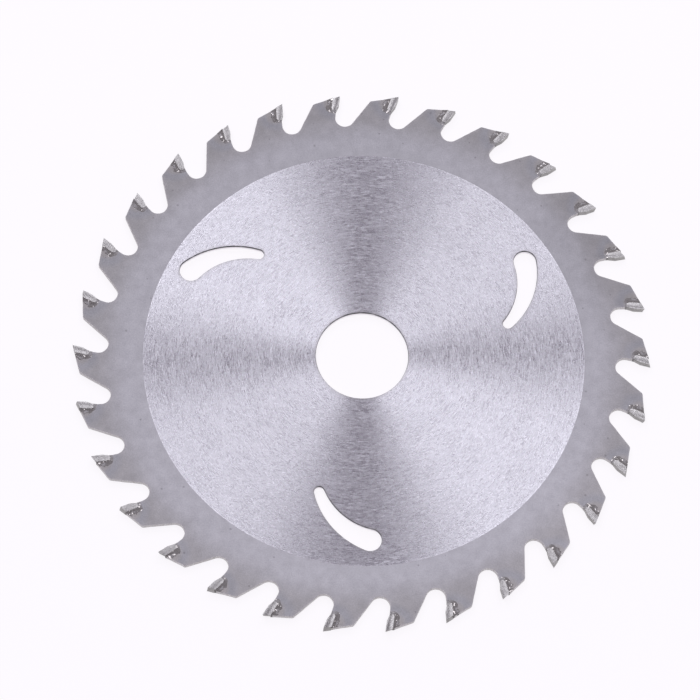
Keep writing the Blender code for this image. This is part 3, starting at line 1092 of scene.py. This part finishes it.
def blasted_ring(finish):
    """Matt blasted steel, paler beside the disc, duller on the teeth, with a heat tint at each tip, and
    painted light and shade: paler toward the near side, darker or paler in a few spots.
    """
    dulling_start, dulling_end = 50.7, 58.2
    far_side, near_side = 50.0, -50.0
    spot_reach = 28.0
    metal = Metal("blasted_steel_ring")
    tree = metal.tree
    grain = metal.effect("Grain and Clouds", grain_size=0.22, cloud_size=6.0, pit_size=0.8)
    scratches = metal.effect("Handling Scratches", spacing=3.1)
    edges = metal.effect("Edge Wear and Stain", edge_distance=metal.kept("edge_distance"),
                         wear_width=0.12, stain_width=0.8)

    # The blasting turns duller outward. Painted light makes the ring paler toward the near side, and
    # painted shade and light make a few spots darker or paler
    wander = (grain["Clouds"] - 0.5) * 1.6
    outward = (metal.radius() + wander).smooth(dulling_start, dulling_end)
    uneven = finish.painted_near_light
    level = metal.position.apart()[1].remap(far_side, near_side, 1.0 - uneven, 1.0 + uneven)
    for place, change in PAINTED_LIGHT_AND_SHADE_SPOTS:
        level = level + (metal.position - place).length().smooth(spot_reach, 0.0) * change
    mottle = tree.noise(metal.position * 0.45, 2.0, 0.55).remap(0.3, 0.7, 0.94, 1.06)
    heat = metal.kept("tip_distance") + wander * 0.5

    tone = tree.mix(outward, finish.blasted_inner, finish.blasted_outer)
    tone = tone.tinted(level * grain["Grain"].remap(0.35, 0.65, 0.945, 1.055) * mottle)
    tone = tone.tinted(finish.heat_straw, heat.remap(2.6, 1.0, 0.0, 0.8))
    tone = tone.tinted(finish.heat_blue, heat.remap(2.0, 2.8) * heat.remap(4.8, 3.4))
    tone = tone.toward(finish.burnt_steel, edges["Stain"] * 0.12)
    tone = tone.toward(finish.cut_steel, edges["Wear"] * 0.35)
    tone = tone.toward(finish.steel_pit, grain["Pits"] * 0.50)
    tone = tone.toward(finish.cut_steel, scratches["Scratches"] * 0.10)
    rough = grain["Grain"].remap(0.3, 0.7, finish.blasted_roughness + 0.04,
                                 finish.blasted_roughness - 0.04)
    return metal.finished(tone, rough, grain["Grain"], 0.006)


def cut_edge(finish, plate):
    """The wall that the cutter left, with fine lines through the thickness.

    In the disc's slots and bore the wall is clean, and painted dark over its upper part as shade.
    """
    metal = Metal("cut_steel_edge")
    tree = metal.tree
    disc_edge = plate.disc_radius / MM - 0.7
    in_disc = metal.radius().remap(disc_edge, disc_edge - 2.0)
    lines = tree.noise(metal.position * (9.0, 9.0, 0.9), 3.0, 0.6)
    patches = tree.noise(metal.position, 2.0, 0.5, scale=0.8)
    # Painted shade: the upper part of the walls in the disc is turned near black, in patches
    painted_shade_mask = metal.position.apart()[2].remap(0.0, 0.12) * in_disc * patches.remap(0.3, 0.5, 0.7, 1.0)
    tone = tree.mix(lines.remap(0.35, 0.65), finish.burnt_steel, finish.cut_steel)
    tone = tone.toward(finish.burnt_steel, patches.remap(0.45, 0.75, 0.0, 0.5))
    tone = tone.toward(finish.clean_cut, in_disc * 0.85)
    tone = tone.toward(finish.painted_wall_shade, painted_shade_mask)
    rough = lines.remap(0.3, 0.7, finish.cut_roughness + 0.1, finish.cut_roughness - 0.1)
    return metal.finished(tone, rough, lines, 0.010)


def ground_carbide(finish):
    """Sintered carbide, ground along the tip, with dull patches."""
    metal = Metal("ground_carbide")
    tree = metal.tree
    own = metal.own_position()
    grain = metal.effect("Grain and Clouds", position=own, grain_size=0.15, cloud_size=0.75,
                         pit_size=0.35)
    lines = tree.noise(own * (11.0, 1.8, 11.0), 2.0, 0.6)
    tone = tree.mix(grain["Clouds"].remap(0.25, 0.95), finish.carbide, finish.carbide_dark)
    tone = tone.tinted(grain["Grain"].remap(0.35, 0.65, 0.88, 1.12))
    tone = tone.toward(finish.carbide_pit, grain["Pits"] * 0.6)
    rough = lines.remap(0.3, 0.7, finish.carbide_roughness + 0.08, finish.carbide_roughness - 0.08)
    cutting_direction = tree.value("ShaderNodeVectorTransform", "Vector", {"Vector": (1.0, 0.0, 0.0)},
                                   vector_type="VECTOR", convert_from="OBJECT", convert_to="WORLD")
    metal.draw_gloss(finish.carbide_direction, cutting_direction)
    return metal.finished(tone, rough, lines + grain["Grain"] * 0.6, 0.004)


def oxidised_braze(finish):
    """Oxidised braze, dark beside the joint, with specks where clean silver shows."""
    metal = Metal("oxidised_braze")
    tree = metal.tree
    own = metal.own_position()
    across = metal.kept("across")
    down = metal.kept("down")
    grain = metal.effect("Grain and Clouds", position=own, grain_size=0.09, cloud_size=0.45,
                         pit_size=0.3)

    # Some beads have more bright specks than others
    speck_level = tree.value("ShaderNodeObjectInfo", "Random").remap(0.0, 1.0, 0.67, 0.60)
    specks = tree.noise(own, 1.5, 0.5, scale=1.7).remap(speck_level, speck_level + 0.03)

    # Pale are the foot and a band along the middle of the bead, which is faint but for a stretch
    # behind the tip
    wander = across + tree.noise(own, 2.0, 0.6, scale=1.4).remap(0.3, 0.7, -0.16, 0.16)
    cleaned = wander.smooth(0.34, 0.52) * wander.smooth(0.90, 0.72)
    halfway = down.smooth(0.16, 0.32) * down.smooth(0.58, 0.42)
    on_foot = down.smooth(0.70, 0.86)
    pale = (on_foot * 0.80).largest(cleaned * halfway.remap(0.0, 1.0, 0.10, 0.90))

    tone = tree.mix(pale, finish.braze_oxide, finish.blasted_outer)
    tone = tone.toward(finish.braze_oxide, grain["Clouds"].remap(0.3, 0.9, 0.0, 0.5))
    tone = tone.tinted(grain["Grain"].remap(0.3, 0.7, 0.70, 1.30))
    tone = tone.toward(finish.braze_bright, specks)
    return metal.finished(tone, specks.remap(0.0, 1.0, 0.58, 0.30), grain["Grain"], 0.02)


# Studio

def seen_directly(tree):
    """One for rays from the camera, and for mirrored and bent ones, so that metal shows it too."""
    path = tree.node("ShaderNodeLightPath").outputs
    camera, glossy, bent = [Value(tree, path[f"Is {kind} Ray"])
                            for kind in ("Camera", "Glossy", "Transmission")]
    return camera.largest(glossy.largest(bent))


def round_sheet(name, radius, height, material):
    """A flat round sheet of the stage, facing up."""
    steps = 96
    mesh = bpy.data.meshes.new(name)
    rim = [(point.x, point.y, height) for point in circle(BORE_CENTRE, radius, steps)]
    mesh.from_pydata(rim, [], [tuple(range(steps))])
    mesh.materials.append(material)
    sheet = bpy.data.objects.new(name, mesh)
    bpy.context.scene.collection.objects.link(sheet)
    return sheet


def ground_material(studio):
    """White ground that keeps a faint shadow, and isn't seen from below."""
    made, tree = new_material("white_ground")
    white = tree.node("ShaderNodeEmission", {"Color": studio.white, "Strength": 1.0})
    paper = tree.node("ShaderNodeBsdfDiffuse", {"Color": studio.white})
    clear = tree.node("ShaderNodeBsdfTransparent")
    kept = seen_directly(tree) * (1.0 - studio.shadow_share)
    front = tree.node("ShaderNodeMixShader", {0: kept, 1: paper.outputs[0], 2: white.outputs[0]})
    from_below = tree.value("ShaderNodeNewGeometry", "Backfacing")
    sheet = tree.node("ShaderNodeMixShader", {0: from_below, 1: front.outputs[0], 2: clear.outputs[0]})
    tree.node("ShaderNodeOutputMaterial", {"Surface": sheet.outputs[0]})
    return made


def ceiling_material(studio):
    """The dim ceiling that the blade mirrors between the lamps."""
    made, tree = new_material("dim_ceiling")
    light = tree.node("ShaderNodeEmission", {"Color": studio.ceiling, "Strength": 1.0})
    tree.node("ShaderNodeOutputMaterial", {"Surface": light.outputs[0]})
    return made


def white_surroundings(studio):
    """White all round for the camera and for reflections, and the ceiling's light for the rest."""
    world = bpy.data.worlds.new("studio")
    world.use_nodes = True
    tree = Tree(world.node_tree)
    tone = tree.mix(seen_directly(tree), studio.ceiling, studio.white)
    light = tree.node("ShaderNodeBackground", {"Color": tone, "Strength": 1.0})
    tree.node("ShaderNodeOutputWorld", {"Surface": light.outputs[0]})
    bpy.context.scene.world = world


def add_lamp(studio, name, azimuth, elevation, roll, width, power):
    """A soft lamp that points at the blade, with its azimuth taken from the camera's right."""
    data = bpy.data.lights.new(name, "AREA")
    data.shape = "RECTANGLE"
    data.size = width
    data.size_y = studio.lamp_height
    data.energy = power
    data.color = studio.lamp_colour
    lamp = bpy.data.objects.new(name, data)
    lamp.matrix_world = (Matrix.Rotation(studio.camera_azimuth + azimuth, 4, "Z")
                         @ Matrix.Rotation(math.pi / 2 - elevation, 4, "Y")
                         @ Matrix.Rotation(roll, 4, "Z")
                         @ Matrix.Translation((0.0, 0.0, studio.lamp_distance)))
    lamp.visible_camera = False
    bpy.context.scene.collection.objects.link(lamp)


def add_camera(studio):
    """The camera of the photograph."""
    azimuth = studio.camera_azimuth
    elevation = studio.camera_elevation
    back = Vector((math.sin(azimuth) * math.cos(elevation), -math.cos(azimuth) * math.cos(elevation),
                   math.sin(elevation)))
    level_right = Vector((math.cos(azimuth), math.sin(azimuth), 0.0))
    level_up = back.cross(level_right)
    roll = studio.camera_roll
    right = level_right * math.cos(roll) - level_up * math.sin(roll)
    up = level_right * math.sin(roll) + level_up * math.cos(roll)
    data = bpy.data.cameras.new("product_camera")
    data.lens = studio.camera_lens
    data.clip_start = 0.01
    data.clip_end = 100.0
    camera = bpy.data.objects.new("product_camera", data)
    place = back * studio.camera_distance + right * studio.camera_right + up * studio.camera_up
    turn = Matrix((right, up, back)).transposed().to_4x4()
    camera.matrix_world = Matrix.Translation(place) @ turn
    bpy.context.scene.collection.objects.link(camera)
    bpy.context.scene.camera = camera


# Operators

def finished_object(name, mesh, materials, node):
    """Put a mesh in the scene as a piece of the blade that stands for a packed node."""
    for material in materials:
        mesh.materials.append(material)
    piece = bpy.data.objects.new(name, mesh)
    bpy.context.scene.collection.objects.link(piece)
    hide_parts(node)
    return piece


class SAW_OT_build_plate(bpy.types.Operator):
    """Build the steel plate with its ground disc, blasted ring and cut edges"""
    bl_idname = "saw.build_plate"
    bl_label = "Build Plate"

    def execute(self, context):
        scene = context.scene
        finish = scene.saw_finish
        sizes = scene.saw_plate
        materials = (ground_disc(finish, sizes), blasted_ring(finish), cut_edge(finish, sizes))
        plate = finished_object("blade_plate", plate_mesh(scene), materials, PLATE_NODE)
        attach(plate, BODY)
        return {"FINISHED"}


class SAW_OT_build_tips(bpy.types.Operator):
    """Grind a carbide tip for each tooth, with its top bevelled to one side and the other by turns"""
    bl_idname = "saw.build_tips"
    bl_label = "Build Carbide Tips"

    def execute(self, context):
        form = ToothForm(context.scene)
        material = ground_carbide(context.scene.saw_finish)
        for number, node in enumerate(TIP_NODES):
            turn = number * form.pitch
            name = f"tip_{number + 1:02d}"
            mesh = tip_mesh(form, name, 1 if number % 2 else -1)
            tip = finished_object(name, mesh, [material], node)
            sway, lift, lean = (noise.noise(Vector((number * 1.7, row, 8.1)))
                                for row in (0.4, 20.4, 40.4))
            shift = form.tip.placing_error * Vector((sway, lift, 0.0))
            tip.location = (form.corner.length * unit(turn)).to_3d() + shift
            tip.rotation_euler.z = turn - math.pi / 2 + form.tip.leaning_error * lean
            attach(tip, BODY)
        return {"FINISHED"}


class SAW_OT_build_braze(bpy.types.Operator):
    """Run a bead of braze round the back and foot of each tip, on both faces of the plate"""
    bl_idname = "saw.build_braze"
    bl_label = "Build Braze"

    def execute(self, context):
        form = ToothForm(context.scene)
        material = oxidised_braze(context.scene.saw_finish)
        for number in range(form.tooth.count):
            turn = number * form.pitch
            name = f"braze_{number + 1:02d}"
            mesh = Bead(form, context.scene.saw_braze, number).mesh(name)
            bead = finished_object(name, mesh, [material], PLATE_NODE)
            bead.location = (form.corner.length * unit(turn)).to_3d()
            bead.rotation_euler.z = turn - math.pi / 2
            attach(bead, BODY)
        return {"FINISHED"}


class SAW_OT_build_stage(bpy.types.Operator):
    """Set up the white ground, the ceiling, the lamps and the camera"""
    bl_idname = "saw.build_stage"
    bl_label = "Build Stage"

    def execute(self, context):
        scene = context.scene
        studio = scene.saw_studio
        ground_height = -scene.saw_tip.kerf / 2
        round_sheet("white_ground", studio.ground_radius, ground_height, ground_material(studio))
        ceiling = round_sheet("dim_ceiling", studio.ceiling_radius, studio.ceiling_height,
                              ceiling_material(studio))
        ceiling.visible_camera = False
        ceiling.visible_shadow = False
        white_surroundings(studio)
        for name, (*degrees, strength) in LAMPS.items():
            add_lamp(studio, name, *map(math.radians, degrees),
                     getattr(studio, strength + "_width"), getattr(studio, strength + "_power"))
        add_camera(studio)
        scene.view_settings.view_transform = "Standard"
        return {"FINISHED"}


class SAW_PT_blade(bpy.types.Panel):
    """Sizes, finishes and building steps of the blade"""
    bl_idname = "SAW_PT_blade"
    bl_label = "Saw Blade"
    bl_space_type = "VIEW_3D"
    bl_region_type = "UI"
    bl_category = "Saw Blade"

    def draw(self, context):
        layout = self.layout
        for operator in OPERATORS:
            layout.operator(operator.bl_idname)
        for attribute, kind in SETTINGS.items():
            box = layout.box()
            box.label(text=kind.__doc__.rstrip("."))
            for name in kind.__annotations__:
                box.prop(getattr(context.scene, attribute), name)


OPERATORS = (SAW_OT_build_plate, SAW_OT_build_tips, SAW_OT_build_braze, SAW_OT_build_stage)
CLASSES = (*SETTINGS.values(), *OPERATORS, SAW_PT_blade)


def register():
    """Add the classes and the blade's settings."""
    for kind in CLASSES:
        bpy.utils.register_class(kind)
    for attribute, kind in SETTINGS.items():
        setattr(bpy.types.Scene, attribute, PointerProperty(type=kind))


def unregister():
    """Take the settings and the classes away."""
    for attribute in SETTINGS:
        delattr(bpy.types.Scene, attribute)
    for kind in reversed(CLASSES):
        bpy.utils.unregister_class(kind)


def main():
    """Build the blade and the stage."""
    register()
    bpy.ops.saw.build_plate()
    bpy.ops.saw.build_tips()
    bpy.ops.saw.build_braze()
    bpy.ops.saw.build_stage()


if __name__ == "__main__":
    main()
